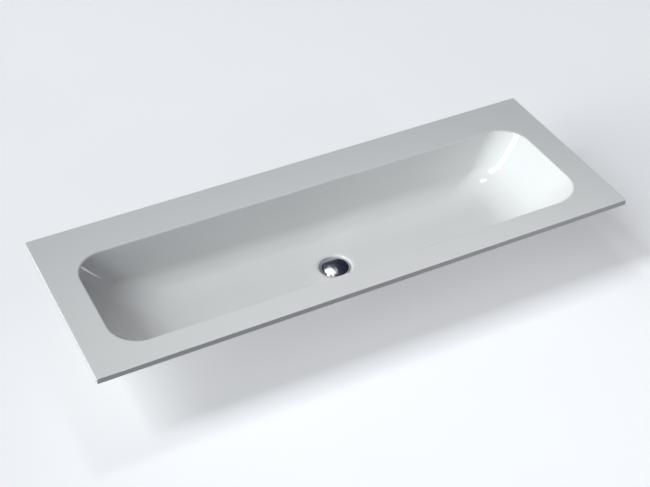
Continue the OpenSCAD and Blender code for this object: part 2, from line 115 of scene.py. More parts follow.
# %% The bowl's own values, in millimetres and degrees
end_margin, back_margin, front_margin = 63, 92.5, 55.5
half_w = slab_half_w - end_margin
back_y, front_y = slab_half_d - back_margin, front_margin - slab_half_d
depth, wall_t = 111.0, 10.0
rim_roll_r, rim_corner_r, foot_corner_r = 4.0, 68.0, 70
drafts = {"right": 40, "back": 16, "left": 40, "front": 22}
fillets = {"right": 132, "back": 46, "left": 132, "front": 46}
side_slope_start, side_slope_share = 40, 0.096
end_slope_start, end_slope_share = 20, 0.008
crease_soft = 0.5
recess_r, recess_depth, recess_fillet = 35, 12, 2.4
recess_roll_w, recess_roll_h = 9, 3.5
hole_r, boss_r, boss_fillet = 23, 44.5, 4
flat_r = boss_r + boss_fillet
floor_z = slab_top - depth
recess_z = floor_z - recess_depth
print("bowl", half_w * 2, back_y - front_y, "floor z", floor_z, "recess z", recess_z)

# %% [markdown]
# ## Meshes from rings
#
# A cast or turned piece is easiest to describe as a row of rings. Sculpting or subdivision could
# give the same soft forms, but rings keep exact sizes, and close rings beside a small round keep
# the flat faces next to it flat under smooth shading.

# %% Make a mesh object from points in millimetres
def mesh_piece(name, points, faces):
    mesh = bpy.data.meshes.new(name)
    mesh.from_pydata((np.asarray(points) * MM).tolist(), [], faces)
    mesh.validate()
    mesh.polygons.foreach_set("use_smooth", [True] * len(mesh.polygons))
    return in_scene(name, mesh)


def face_outward(mesh):
    """Flips the faces of a closed mesh whose volume comes out negative: they look inward."""
    shape = bmesh.new()
    shape.from_mesh(mesh)
    if shape.calc_volume(signed=True) < 0:
        mesh.flip_normals()
    shape.free()


def skin(name, rings, loop=False, caps=False):
    """Joins rings of equal count. With loop, the last ring joins the first."""
    rings = np.asarray(rings)
    count, around = rings.shape[:2]
    pairs = [(j, (j + 1) % count) for j in range(count if loop else count - 1)]
    faces = [(a * around + i, a * around + (i + 1) % around,
              b * around + (i + 1) % around, b * around + i)
             for a, b in pairs for i in range(around)]
    if caps:
        faces.append(tuple(range(around - 1, -1, -1)))
        faces.append(tuple((count - 1) * around + i for i in range(around)))
    piece = mesh_piece(name, rings.reshape(-1, 3), faces)
    face_outward(piece.data)
    return piece


# %% [markdown]
# ## The bowl's section
#
# Cut across, one side of the bowl is a small roll over the rim, a straight leaning wall, and a wide
# fillet that lands on the floor. The same section, one wall thickness further out, is its outside.

# %% Sections of the bowl's side at many places at once
ROLL, WALL, FILLET = 6, 8, 18
near_end = 0.02
wall_shares = [near_end] + [i / WALL for i in range(1, WALL)] + [1 - near_end, 1]


def wall_sections(side, drop, foot):
    """Inside and outside: steps in and heights from the slab's top, shape (places, levels, 2)."""
    draft, foot, r = math.radians(drafts[side]), np.radians(foot), fillets[side]
    s, c = math.sin(draft), math.cos(draft)
    start_x, start_z = rim_roll_r * c, rim_roll_r * (s - 1)
    run = (start_z + r * (s - np.cos(foot)) + drop) / c
    centre_x, centre_z = start_x + run * s + r * c, start_z - run * c + r * s
    first = (start_z - wall_t * s + slab_t) / c

    def fillet(radius):
        bends = [draft + (math.pi / 2 - foot - draft) * i / FILLET for i in range(1, FILLET + 1)]
        return [[centre_x - radius * np.cos(a), centre_z - radius * np.sin(a)] for a in bends]

    rolls = [(math.pi / 2 - draft) * i / ROLL for i in range(ROLL + 1)]
    inside = [[drop * 0 + rim_roll_r * math.sin(a), drop * 0 + rim_roll_r * (math.cos(a) - 1)]
              for a in rolls]
    inside += [[start_x + run * t * s, start_z - run * t * c] for t in wall_shares]
    runs = [first + (run - first) * i / WALL for i in range(WALL + 1)]
    outside = [[start_x + t * s - wall_t * c, start_z - t * c - wall_t * s] for t in runs]
    both = inside + fillet(r), outside + fillet(r + wall_t)
    return [np.moveaxis(np.array(levels), 2, 0) for levels in both]


# %% [markdown]
# ## The floor's fall
#
# Water has to find the drain, so the floor is four faint planes that meet in soft creases, like an
# opened envelope, and fade to a true flat round the recess.

# %% How far the floor rises above the drain, and its slope
def rise(x, y):
    """The highest of the planes and the flat, with soft creases, faded out near the recess."""
    side = side_slope_share * (np.abs(y - drain_y) - side_slope_start)
    end = end_slope_share * (np.abs(x) - end_slope_start)
    fade = np.clip((np.hypot(x, y - drain_y) - flat_r) / (2 * flat_r), 0, 1)
    top = np.maximum(np.maximum(side, end), 0)
    soft = crease_soft * np.log(sum(np.exp((v - top) / crease_soft) for v in (0, side, end)))
    return (top + soft) * fade * fade * (3 - 2 * fade)


def slope(x, y, ax, ay, step=4.0):
    """The floor's slope in degrees along the direction (ax, ay)."""
    there, back = rise(x + ax * step, y + ay * step), rise(x - ax * step, y - ay * step)
    return np.degrees(np.arctan((there - back) / (2 * step)))


def rough_foot(side):
    """How far in from the rim the side would land on a level floor."""
    return wall_sections(side, np.array([depth]), np.array([0.0]))[0][0, -1, 0]


back_foot, front_foot, end_foot = rough_foot("back"), rough_foot("front"), rough_foot("right")
floor_d = back_y - front_y - back_foot - front_foot
foot_r = min(foot_corner_r, floor_d / 2 - rim_roll_r)
print("floor about", 2 * (half_w - end_foot), "by", floor_d)

# %% Sections all round the rim, settled on the sloping floor
LONG, SHORT, CORNER = 80, 24, 20
OUTWARD = {"right": (1, 0), "back": (0, 1), "left": (-1, 0), "front": (0, -1)}


def foot_place(side, share, step):
    """The foot's place in plan, by its share of the straight run and its step inward."""
    reach = half_w - end_foot - foot_r
    near, far = front_y + front_foot + foot_r, back_y - back_foot - foot_r
    if side == "back":
        return reach * (1 - 2 * share), back_y - step
    if side == "front":
        return reach * (2 * share - 1), front_y + step
    if side == "right":
        return half_w - step, near + (far - near) * share
    return step - half_w, far + (near - far) * share


def settled_sections(side):
    share = np.linspace(0, 1, (SHORT if side in ("right", "left") else LONG) + 1)
    step = np.full_like(share, rough_foot(side))
    for _ in range(2):
        x, y = foot_place(side, share, step)
        x, y = x + 0 * share, y + 0 * share
        inner, outer = wall_sections(side, depth - rise(x, y), slope(x, y, *OUTWARD[side]))
        step = inner[:, -1, 0]
    return inner, outer


sections = {side: settled_sections(side) for side in OUTWARD}
inner_table = {side: pair[0] for side, pair in sections.items()}
outer_table = {side: pair[1] for side, pair in sections.items()}
print("back wall's foot:", inner_table["back"][LONG // 2, -1].round(2))

# %% [markdown]
# ## Rings round the bowl
#
# Each level of the sections becomes one ring: straight runs along the four sides, joined by round
# corners. A ring pushed outward has its corners' radius grown by the same step.

# %% One ring round the bowl
def bowl_ring(table, level, r, out=0.0, height=None):
    """One level of the sections, with corners of radius r, pushed outward or laid flat."""
    right, back, left, front = (table[s][:, level] for s in ("right", "back", "left", "front"))
    r = r + out
    x_run = half_w - right[-1, 0] + out - r
    y_back, y_front = back_y - back[0, 0] + out - r, front_y + front[-1, 0] - out + r

    def corner(quarter, at_end, at_side):
        cx = (1 if quarter in (0, 3) else -1) * (half_w - at_end[0] + out - r)
        cy = back_y - at_side[0] + out - r if quarter < 2 else front_y + at_side[0] - out + r
        a = math.pi / 2 * (quarter + np.arange(CORNER) / CORNER)
        z = at_end[1] + (at_side[1] - at_end[1]) * np.sin(a) ** 2
        return np.stack([cx + r * np.cos(a), cy + r * np.sin(a), z], -1)

    short, long = np.arange(SHORT) / SHORT, np.arange(LONG) / LONG
    right_y, left_y = y_front + (y_back - y_front) * short, y_back + (y_front - y_back) * short
    ring = np.concatenate([
        np.stack([half_w - right[:-1, 0] + out, right_y, right[:-1, 1]], -1),
        corner(0, right[-1], back[0]),
        np.stack([x_run * (1 - 2 * long), back_y - back[:-1, 0] + out, back[:-1, 1]], -1),
        corner(1, left[0], back[-1]),
        np.stack([left[:-1, 0] - half_w - out, left_y, left[:-1, 1]], -1),
        corner(2, left[-1], front[0]),
        np.stack([x_run * (2 * long - 1), front_y + front[:-1, 0] - out, front[:-1, 1]], -1),
        corner(3, right[0], front[-1])])
    ring[:, 2] += slab_top
    if height is not None:
        ring[:, 2] = height
    return ring


# %% Every level of the walls as a ring
def corner_radius(table, level, extra):
    """The corners widen from the rim's radius to the foot's on the way down."""
    middle = table["back"][LONG // 2]
    share = max(0, middle[level, 1] / middle[-1, 1])
    return extra + rim_corner_r + (foot_r - rim_corner_r) * share


def side_rings(table, extra):
    levels = range(table["back"].shape[1])
    return [bowl_ring(table, k, corner_radius(table, k, extra)) for k in levels]


inner_rings, outer_rings = side_rings(inner_table, 0), side_rings(outer_table, wall_t)
AROUND = len(inner_rings[0])
print("points in a ring:", AROUND)

# %% [markdown]
# ## The floor's rings
#
# The walls leave a long outline, and the floor has to end as a circle round the drain. Each ring is
# one step from the outline to the circle, lifted by the floor's fall. The circle's points lie at
# nearly even angles, so that the faces don't bunch up at its two ends.

# %% Rings of the floor, drawn in to the circle round the drain
def circle_angles(edge, own_share=0.35):
    """Angles round the drain: partly those of the edge's points, mostly evenly spread."""
    own = np.unwrap(np.arctan2(edge[:, 1] - drain_y, edge[:, 0]))
    even = own.mean() - math.pi + 2 * math.pi * (np.arange(AROUND) + 0.5) / AROUND
    return own * own_share + even * (1 - own_share)


def circle(r, z):
    return np.stack([r * np.cos(angles), drain_y + r * np.sin(angles), np.full(AROUND, float(z))], -1)


def floor_rings(edge, below, steps=30):
    rings = []
    for share in np.linspace(0, 1, steps + 1)[1:]:
        q = edge[:, :2] * (1 - share) + circle(flat_r, 0)[:, :2] * share
        rings.append(np.column_stack([q, floor_z + rise(q[:, 0], q[:, 1]) - below]))
    return rings


angles = circle_angles(inner_rings[-1])
inner_floor = floor_rings(inner_rings[-1], 0)
outer_floor = floor_rings(outer_rings[-1], wall_t)
print("floor rings:", len(inner_floor) + len(outer_floor))

# %% [markdown]
# ## The slab's rings
#
# The slab's edges are crisp, but a cast edge is never knife sharp: a 1 mm roll runs round it. The
# guard ring next to each roll stops its shading from spreading over the flat faces.

# %% A ring of the slab, and a bend between two of them
def slab_ring(inset, z, least_r=0.25):
    r = max(slab_corner_r - inset, least_r)
    hw, hd = slab_half_w - inset - r, slab_half_d - inset - r

    def line(a, b, n):
        t = (np.arange(n) / n)[:, None]
        return np.array(a) * (1 - t) + np.array(b) * t

    def arc(cx, cy, quarter):
        a = math.pi / 2 * (quarter + np.arange(CORNER) / CORNER)
        return np.stack([cx + r * np.cos(a), cy + r * np.sin(a)], -1)

    flat = np.concatenate([
        line((hw + r, -hd), (hw + r, hd), SHORT), arc(hw, hd, 0),
        line((hw, hd + r), (-hw, hd + r), LONG), arc(-hw, hd, 1),
        line((-hw - r, hd), (-hw - r, -hd), SHORT), arc(-hw, -hd, 2),
        line((-hw, -hd - r), (hw, -hd - r), LONG), arc(hw, -hd, 3)])
    return np.column_stack([flat, np.full(len(flat), float(z))])


def bend(start, end, upright=False, n=5):
    """A quarter of an ellipse from start to end. It leaves the start level, or else upright."""
    (r0, z0), (r1, z1) = start, end
    turns = [math.pi / 2 * i / n for i in range(n + 1)]
    if upright:
        return [(r1 + (r0 - r1) * math.cos(a), z0 + (z1 - z0) * math.sin(a)) for a in turns]
    return [(r0 + (r1 - r0) * math.sin(a), z1 + (z0 - z1) * math.cos(a)) for a in turns]


# %% Rings round the slab
guard, edge_guard = 1.5, 1
rim_out = bowl_ring(inner_table, 0, corner_radius(inner_table, 0, 0), out=guard)
top_rings = [rim_out, slab_ring(slab_edge_r + guard, slab_top)]
edge = bend((slab_edge_r, slab_top), (0, slab_top - slab_edge_r))
edge += [(0, slab_top - slab_edge_r - edge_guard), (0, slab_edge_r + edge_guard)]
edge += bend((0, slab_edge_r), (slab_edge_r, 0), upright=True) + [(slab_edge_r + guard, 0)]
edge_rings = [slab_ring(inset, z) for inset, z in edge]
print("slab rings:", len(top_rings) + len(edge_rings))

# %% [markdown]
# ## Soft inner corners
#
# Clay slip can't fill a sharp inner corner without cracking, so under the slab and round the boss
# the faces flow into each other. Three rings steer each soft corner as a quadratic curve.

# %% Blend three rings into a soft corner
def soft_corner(first, middle, last, steps=7):
    first, middle, last = map(np.asarray, (first, middle, last))
    shares = [i / steps for i in range(steps + 1)]
    return [first * (1 - t) ** 2 + middle * 2 * t * (1 - t) + last * t * t for t in shares]


under_fillet, under_guard = 7.0, 3
root_r = corner_radius(outer_table, 0, wall_t)
under_start = bowl_ring(outer_table, 0, root_r, out=under_fillet + under_guard, height=0.0)
under_ring = bowl_ring(outer_table, 0, root_r, out=under_fillet, height=0.0)
half_down = outer_rings[0] * 0.5 + outer_rings[1] * 0.5
under_rings = [under_start] + soft_corner(under_ring, outer_rings[0], half_down)
under_z = floor_z - wall_t
boss_root = soft_corner(circle(flat_r, under_z), circle(boss_r, under_z),
                        circle(boss_r, under_z - boss_fillet))
print("soft corner rings:", len(under_rings) + len(boss_root))

# %% [markdown]
# ## Recess, hole and boss
#
# The plug lies sunk in a recess with a rolled lip. The hole in it takes the waste, and the boss
# below gives the tail's seal a flat face. Their outlines, with small rounds at the edges, are
# drawn first and then turned into rings.

# %% Rings of the boss, the drain hole and the recess
def circles(points):
    return [circle(r, z) for r, z in points]


boss_round, hole_round = 1.2, 0.6
boss = [(boss_r, boss_z + 2)]
boss += bend((boss_r, boss_z + boss_round), (boss_r - boss_round, boss_z), upright=True, n=4)
boss += [(boss_r - 3, boss_z), (hole_r + 2, boss_z)]
boss += bend((hole_r + hole_round, boss_z), (hole_r, boss_z + hole_round), n=3)
boss += [(hole_r, boss_z + 2), (hole_r, recess_z - 2)]
boss += bend((hole_r, recess_z - hole_round), (hole_r + hole_round, recess_z), upright=True, n=3)
boss.append((hole_r + 2, recess_z))
recess_lip, lip_r = floor_z - recess_roll_h, recess_r + recess_roll_w
recess = [(recess_r - recess_fillet - 1, recess_z)]
recess += bend((recess_r - recess_fillet, recess_z), (recess_r, recess_z + recess_fillet))
recess.append((recess_r, recess_lip - guard))
recess += bend((recess_r, recess_lip), (lip_r, floor_z), upright=True, n=10)
recess.append((lip_r + 1.2, floor_z))
boss_rings, recess_rings = circles(boss), circles(recess)
print("boss rings:", len(boss_rings), "recess rings:", len(recess_rings))

# %% Join all the rings into the basin, and hide the CAD node that it stands in for
def dress(piece, body, node):
    """Hangs the piece on its body's empty, and hides the CAD node that it stands in for."""
    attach(piece, body)
    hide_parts(node)
    return piece


basin_rings = (recess_rings + inner_floor[::-1] + inner_rings[::-1] + top_rings + edge_rings
               + under_rings + outer_rings[2:] + outer_floor[:-1] + boss_root + boss_rings)
basin = dress(skin("basin_casting", basin_rings, loop=True), "basin", "basin")
print("basin rings:", len(basin_rings), "faces:", len(basin.data.polygons))

# %% [markdown]
# ## Turned pieces
#
# The waste's brass body, its cap, seals and washers are all turned or moulded round one axis. Each
# is drawn as an outline of radii and heights, its corners are rounded as a cutter or a mould
# rounds them, and the outline is spun. A modifier could spin it too; rings give the same mesh
# with full control of the small rounds.

# %% Round the corners of an outline
def rounded(outline, radius, steps=4):
    """Rounds each corner of a closed outline. A radius may be given for each corner."""
    outline = [np.array(p, float) for p in outline]
    radii = radius if hasattr(radius, "__len__") else [radius] * len(outline)
    points = []
    for i, (p, r) in enumerate(zip(outline, radii)):
        a, b = outline[i - 1] - p, outline[(i + 1) % len(outline)] - p
        la, lb = np.linalg.norm(a), np.linalg.norm(b)
        a, b = a / la, b / lb
        half = math.acos(np.clip(a @ b, -1, 1)) / 2
        if r <= 0 or half > 1.5 or p[0] <= 0:
            points.append(p)
            continue
        cut = min(r / math.tan(half), 0.4 * la, 0.4 * lb)
        beside = cut + min(0.6 * r, 0.06 * min(la, lb))
        points.append(p + a * beside)
        points += [(p + a * cut) * (1 - t) ** 2 + p * 2 * t * (1 - t) + (p + b * cut) * t * t
                   for t in np.linspace(0, 1, steps + 1)]
        points.append(p + b * beside)
    return points


# %% Spin an outline round the drain's axis
def ring_at(r, z, around=96):
    """A ring round the axis. Its radius may differ from point to point."""
    a = 2 * math.pi * np.arange(around) / around
    return np.stack([r * np.cos(a), drain_y + r * np.sin(a), np.full(around, float(z))], -1)


def turned(name, outline, node, radius=0.3, around=144, body="basin", closed=True):
    points = rounded(outline, radius) if radius is not None else outline
    rings = [ring_at(r, z, around) for r, z in points]
    return dress(skin(name, rings, loop=closed), body, node)


def band(inner_r, outer_r, low, high):
    """The outline of a plain flat ring."""
    return [(inner_r, low), (outer_r, low), (outer_r, high), (inner_r, high)]


# %% [markdown]
# ## Threads
#
# A cut thread is a groove that climbs one pitch a turn. A screw modifier could make it, but a grid
# whose radius follows the phase of height and angle gives the crests, the flanks and the run-out
# at both ends in one mesh.

# %% Rings of a threaded cylinder
RINGS_A_PITCH, FLANK, LAND, GROOVE_END = 9, 2.6, 0.15, 0.35


def thread_rings(radius, cut, pitch, low, high, around=96, fade=1.2, plain=()):
    """Rings from low to high. Stretches of height in plain have a groove of their own radius."""
    rings = []
    for z in np.linspace(low, high, int((high - low) / pitch * RINGS_A_PITCH) + 1):
        phase = (z / pitch - np.arange(around) / around) % 1
        crest = np.clip(np.abs(phase - 0.5) * FLANK - LAND, 0, 1)
        ends = min(1, (z - low) / (fade * pitch), (high - z) / (fade * pitch))
        r = radius - cut * crest * max(0, ends)
        for start, end, plain_r in plain:
            near = np.clip(min(z - start, end - z) / GROOVE_END + 0.5, 0, 1)
            r = r * (1 - near) + plain_r * near
        rings.append(ring_at(r, z, around))
    return rings


# %% [markdown]
# ## The waste's body
#
# One brass forging: a dished flange, a shoulder that centres it in the hole, and a threaded tail.
# The thread has a plain groove between the part for the back nut and the part for the trap.

# %% The waste's own values and heights, in millimetres
fit_gap, slide_gap, shut_gap = 0.05, 0.1, 0.3
flange_r, flange_t, flange_land = 32.0, 2.5, 1.5
dish_fall, throat_fall, bore_r = 1.2, 3.3, 18.0
shoulder_r, shoulder_h = 22.3, 4
tail_r, tail_pitch, tail_cut, tail_bevel, bore_bevel = 20.95, 2.309, 1.25, 1.2, 0.4
nut_t, groove_w, groove_t = 9, 2.5, 0.6
flange_top, tail_end = tail_high[2], tail_low[2]
flange_under = flange_top - flange_t
dish_z, throat_z = flange_top - dish_fall, flange_top - dish_fall - throat_fall
step_z, thread_top = flange_under - shoulder_h, flange_under - shoulder_h - 1
nut_low = node_box("back_nut")[0]
groove_top = nut_low[2] - nut_t / 4
groove_low = groove_top - groove_w
print("flange top", flange_top, "groove from", groove_low, "to", groove_top)

# %% Model the flange and the threaded tail
head = rounded([(bore_r, throat_z - 6), (bore_r, throat_z), (shoulder_r, dish_z),
                (flange_r - flange_land, flange_top), (flange_r, flange_top),
                (flange_r, flange_under), (shoulder_r, flange_under),
                (shoulder_r, step_z), (tail_r, step_z), (tail_r, thread_top)],
               [0, 1.2, 1.6, 0.5, 0.5, 0.4, 0.2, 0.5, 0, 0])
tail = thread_rings(tail_r, tail_cut, tail_pitch, tail_end + tail_bevel, thread_top,
                    plain=[(groove_low, groove_top, tail_r - groove_t)])
foot = [(tail_r - 0.9, tail_end + 0.3), (tail_r - tail_bevel, tail_end), (bore_r + bore_bevel, tail_end),
        (bore_r, tail_end + bore_bevel), (bore_r, tail_end + 3)]
body_rings = [ring_at(r, z) for r, z in head] + tail[::-1] + [ring_at(r, z) for r, z in foot]
waste_body = dress(skin("waste_flange_and_tail", body_rings, loop=True),
                   "basin", "waste_body")
print("tail thread rings:", len(tail))

# %% [markdown]
# ## The bridge in the tail
#
# Four spokes hold a hub with a threaded hole for the latch. They are part of the forging, so their
# edges are soft and they swell where they meet the hub and the tail.

# %% Model the hub
bridge_drop, bridge_h = 37, 8
bridge_top = flange_under - bridge_drop
bridge_low = bridge_top - bridge_h
spigot_r, hub_r = 4.0, 7.0
hub = turned("waste_hub", band(spigot_r + fit_gap, hub_r, bridge_low, bridge_top), radius=0.6, around=64,
             node="waste_body")
print("bridge from", round(bridge_low, 2), "to", round(bridge_top, 2))

# %% Model its spokes
half_thick, most_thick, half_tall, most_tall = 1.5, 2.4, 3.9, 3.98
spoke_start, spoke_end = hub_r - 0.4, bore_r + 0.5


def spoke(index, count=4, around=20, steps=10):
    """A spoke of soft square section. Both its ends are sunk into what they join."""
    rings = []
    a = 2 * math.pi * np.arange(around) / around
    square = 1 / np.maximum(np.abs(np.cos(a)), np.abs(np.sin(a))) ** 0.75
    for t in np.linspace(0, 1, steps + 1):
        r = spoke_start + (spoke_end - spoke_start) * t
        swell = 1 + 0.45 * (2 * t - 1) ** 4
        wide = half_thick * swell * np.cos(a) * square
        tall = half_tall * np.sin(a) * square * (0.94 + 0.06 * swell)
        wide, tall = np.clip(wide, -most_thick, most_thick), np.clip(tall, -most_tall, most_tall)
        rings.append(np.stack([np.full(around, r), wide, (bridge_top + bridge_low) / 2 + tall], -1))
    turn = 2 * math.pi * (index + 0.5) / count
    spin = np.array([[math.cos(turn), -math.sin(turn), 0], [math.sin(turn), math.cos(turn), 0], [0, 0, 1]])
    piece = skin(f"waste_spoke_{index + 1}", np.array(rings) @ spin.T + [0, drain_y, 0], caps=True)
    return dress(piece, "basin", "waste_body")


spokes = [spoke(i) for i in range(4)]
print("spokes:", len(spokes))

# %% [markdown]
# ## Seals and washer
#
# Soft seals keep the water in: a flat ring under the flange and a tapered ring under the basin,
# with a nose that fills the gap in the drain hole. A hard slip washer lets the nut turn on it.

# %% Model the seals and the slip washer
flange_seal_r, tail_seal_r, washer_r = 30.5, 31, 29.5
tail_seal_t, seal_nose_h = 8, 4
flange_seal = turned("flange_seal_ring", band(shoulder_r + fit_gap, flange_seal_r, recess_z, flange_under),
                     radius=0.35, node="flange_seal")
seal_low, nose_top = boss_z - tail_seal_t, boss_z + seal_nose_h
tail_seal = turned("tail_seal_ring", [
    (tail_r + fit_gap, seal_low), ((tail_r + tail_seal_r) / 2, seal_low), (tail_seal_r, boss_z),
    (hole_r - fit_gap, boss_z), (hole_r - 2 * fit_gap, nose_top), (tail_r + fit_gap, nose_top)],
    radius=[0.3, 1.2, 0.5, 0, 0.4, 0.3], node="tail_seal")
washer_low, washer_high = node_box("slip_washer")
washer = turned("slip_washer_ring", band(tail_r + fit_gap, washer_r, washer_low[2], washer_high[2]),
                radius=0.4, node="slip_washer")
print("tail seal from", round(seal_low, 2), "to", round(nose_top, 2))

# %% [markdown]
# ## Nuts
#
# A nut is cut from six-sided bar and its corners are bevelled on a lathe, which leaves the curved
# line where the cone meets each flat. Taking the lesser of the two radii at each angle and height
# gives just that line.

# %% Model the six-sided nuts
def hex_nut(name, node, flats, bore, body, around=96):
    """flats is the size across the flats, bore the radius of the hole."""
    low, high = node_box(node)
    z0, z1 = low[2], high[2]
    a = 2 * math.pi * np.arange(around) / around
    hexagon = flats / 2 / np.cos((a + math.pi / 6) % (math.pi / 3) - math.pi / 6)
    points_r = flats / 2 / math.cos(math.pi / 6)
    bevel = (points_r - flats / 2) / 2
    cone = [(0, flats / 2 - 0.4)]
    cone += [(bevel * t, flats / 2 + (points_r - flats / 2) * t) for t in np.linspace(0, 1, 7)]
    sides = [(z0 + d, r) for d, r in cone] + [((z0 + z1) / 2, points_r)]
    sides += [(z1 - d, r) for d, r in cone[::-1]]
    lead = min(1.0, bevel)
    mouth = bore + lead * 0.8
    rings = [ring_at(bore, z0 + lead, around), ring_at(mouth, z0, around)]
    rings += [ring_at(np.minimum(hexagon, r), z, around) for z, r in sides]
    rings += [ring_at(mouth, z1, around), ring_at(bore, z1 - lead, around)]
    piece = skin(name, rings, loop=True)
    piece.data.set_sharp_from_angle(angle=math.radians(20))
    return dress(piece, body, node)


back_nut_flats, lock_nut_flats, stem_r = 54, 10, 3.0
back_nut = hex_nut("back_nut_hex", "back_nut", back_nut_flats, tail_r + fit_gap, "basin")
lock_nut = hex_nut("lock_nut_hex", "lock_nut", lock_nut_flats, stem_r + fit_gap, "plug")
print("back nut across points:", round(back_nut_flats / math.cos(math.pi / 6), 2))

# %% [markdown]
# ## The plug
#
# The cap is pressed sheet, chromed: an almost flat crown, a round shoulder and a short straight
# edge. In the photograph it shows one soft white highlight and otherwise the dark room, which is
# how a nearly flat mirror with a turned-down edge looks. Its seal ring sits on the collar below.

# %% The cap's own values and heights, in millimetres
cap_r, cap_crown, cap_shoulder_w, cap_shoulder_h = 31.0, 0.2, 1.8, 1.9
cap_t, cap_edge_t, cap_seat_drop = 1.8, 1.6, 0.4
collar_r, collar_t, plug_seal_r = 21.0, 2.0, 27
axis_r = 0.001
cap_low, cap_high = node_box("plug_cap")
cap_top, cap_edge = cap_high[2], flange_top + shut_gap
seat_z = cap_edge + cap_edge_t - cap_seat_drop
cap_shoulder_z = cap_top - cap_crown - cap_shoulder_h
crown_r = cap_r - cap_shoulder_w
ball_r = (crown_r ** 2 + cap_crown ** 2) / (2 * cap_crown)


def crown_face(r):
    """The crown's height at a distance from its middle: it is a shallow piece of a ball."""
    return cap_top - ball_r + math.sqrt(ball_r ** 2 - r ** 2)


print("cap top", cap_top, "edge", round(cap_edge, 2))

# %% Model the cap
crown = [(axis_r, crown_face(0))]
crown += [(crown_r * t, crown_face(crown_r * t)) for t in np.linspace(0, 1, 15)[1:]]
crown += bend((crown_r, cap_shoulder_z + cap_shoulder_h), (cap_r, cap_shoulder_z), n=14)[1:]
collar_in, socket_r, stem_hole = collar_r - collar_t, stem_r + collar_t, stem_r + fit_gap
lower = rounded([(cap_r, cap_shoulder_z - 0.4), (cap_r, cap_edge), (cap_r - cap_edge_t, cap_edge),
                 (cap_r - 2 * cap_edge_t, seat_z), (collar_r, seat_z), (collar_r, seat_z - cap_t),
                 (collar_in, seat_z - cap_t), (collar_in, crown_face(collar_in) - cap_t),
                 (socket_r, crown_face(socket_r) - cap_t), (socket_r, cap_low[2]),
                 (stem_hole, cap_low[2]), (stem_hole, cap_low[2] + 1)],
                [0, 0.4, 0.4, 0.3, 0.2, 0.4, 0.4, 0.5, 0.5, 0.4, 0.2, 0])
hole_top = cap_top - 2 * cap_t + 0.1
inside = [(stem_hole, hole_top), (axis_r, hole_top)]
cap = turned("plug_cap_chrome", crown + lower[1:] + inside, radius=None, around=192, body="plug",
             node="plug_cap", closed=False)
print("cap faces:", len(cap.data.polygons))

# %% Model its seal and its stem
dish_w = flange_r - flange_land - shoulder_r
face_at_seal = dish_z + (flange_top - dish_z) * (plug_seal_r - shoulder_r) / dish_w
plug_seal = turned("plug_seal_ring", [
    (collar_r + fit_gap, seat_z), (plug_seal_r, seat_z), (plug_seal_r, face_at_seal + shut_gap),
    (shoulder_r, dish_z + shut_gap), (collar_r + fit_gap, dish_z + shut_gap)],
    radius=[0.2, 0.3, 0.4, 0.3, 0.2], body="plug", node="plug_seal")
stem_low, stem_high = node_box("plug_stem")
stem_pitch, stem_cut, stem_tip_r, tip_h, stem_around = 1.0, 0.45, stem_r - 0.5, 0.3, 48
stem_thread = thread_rings(stem_r, stem_cut, stem_pitch, stem_low[2] + tip_h, stem_high[2] - tip_h,
                           around=stem_around, fade=0.6)
stem_rings = ([ring_at(r, stem_low[2], stem_around) for r in (axis_r, stem_tip_r)] + stem_thread
              + [ring_at(r, stem_high[2], stem_around) for r in (stem_tip_r, axis_r)])
stem = dress(skin("plug_stem_threaded", stem_rings), "plug", "plug_stem")
print("stem from", round(stem_low[2], 2), "to", round(stem_high[2], 2))

# %% [markdown]
# ## The latch cartridge
#
# Under the plug sits a push-push latch: a moulded housing, a lid, a plunger and a bumper ring. The
# housing, the plunger and the pin keep their CAD shapes; the lid and the ring get rounded edges.

# %% Model the lid and the bumper ring
lid_low, lid_high = node_box("cartridge_lid")
housing_bore, housing_r, neck_r, lid_plug_h = 8.0, 10.5, 4.9, 1.5
lid_plug_r, lid_hole_r = housing_bore - fit_gap, neck_r + slide_gap
housing_top = lid_low[2] + lid_plug_h
lid = turned("cartridge_lid_cover", [(lid_hole_r, lid_low[2]), (lid_plug_r, lid_low[2]),
                                     (lid_plug_r, housing_top), (housing_r, housing_top),
                                     (housing_r, lid_high[2]), (lid_hole_r, lid_high[2])],
             radius=[0.2, 0.3, 0, 0.2, 0.6, 0.4], around=96, node="cartridge_lid")
ring_low, ring_high = node_box("bumper_ring")
bumper_z, bumper_r = (ring_low[2] + ring_high[2]) / 2, (ring_high[2] - ring_low[2]) / 2
bumper_outline = [(neck_r + fit_gap + bumper_r + bumper_r * math.cos(a), bumper_z + bumper_r * math.sin(a))
                  for a in np.linspace(0, 2 * math.pi, 17)[:-1]]
bumper = turned("bumper_ring_round", bumper_outline, radius=None, around=72, body="plug",
                node="bumper_ring")
print("lid under", round(lid_low[2], 2), "ring at", round(bumper_z, 2))

# %% [markdown]
# ## The latch spring
#
# A compression spring has round wire and closed ends: the last three quarters of a turn lie flat.

# %% The spring's own values, and the height of its wire
spring_low, spring_high = node_box("latch_spring")
spring_r, wire_r, turns, sides, steps_a_turn = 5.5, 0.4, 6.0, 12, 40
flat_turns, flat_climb = 0.75, (2 * wire_r + 0.06) * 0.25
z_foot, z_head = spring_low[2] + wire_r, spring_high[2] - wire_r


def spring_height(turn):
    """Height of the wire's middle. It climbs evenly between two ends that lie nearly flat."""
    if turn < flat_turns:
        return z_foot + flat_climb * (turn / flat_turns) ** 2
    if turn > turns - flat_turns:
        return z_head - flat_climb * ((turns - turn) / flat_turns) ** 2
    share = (turn - flat_turns) / (turns - 2 * flat_turns)
    return z_foot + flat_climb + (z_head - z_foot - 2 * flat_climb) * share


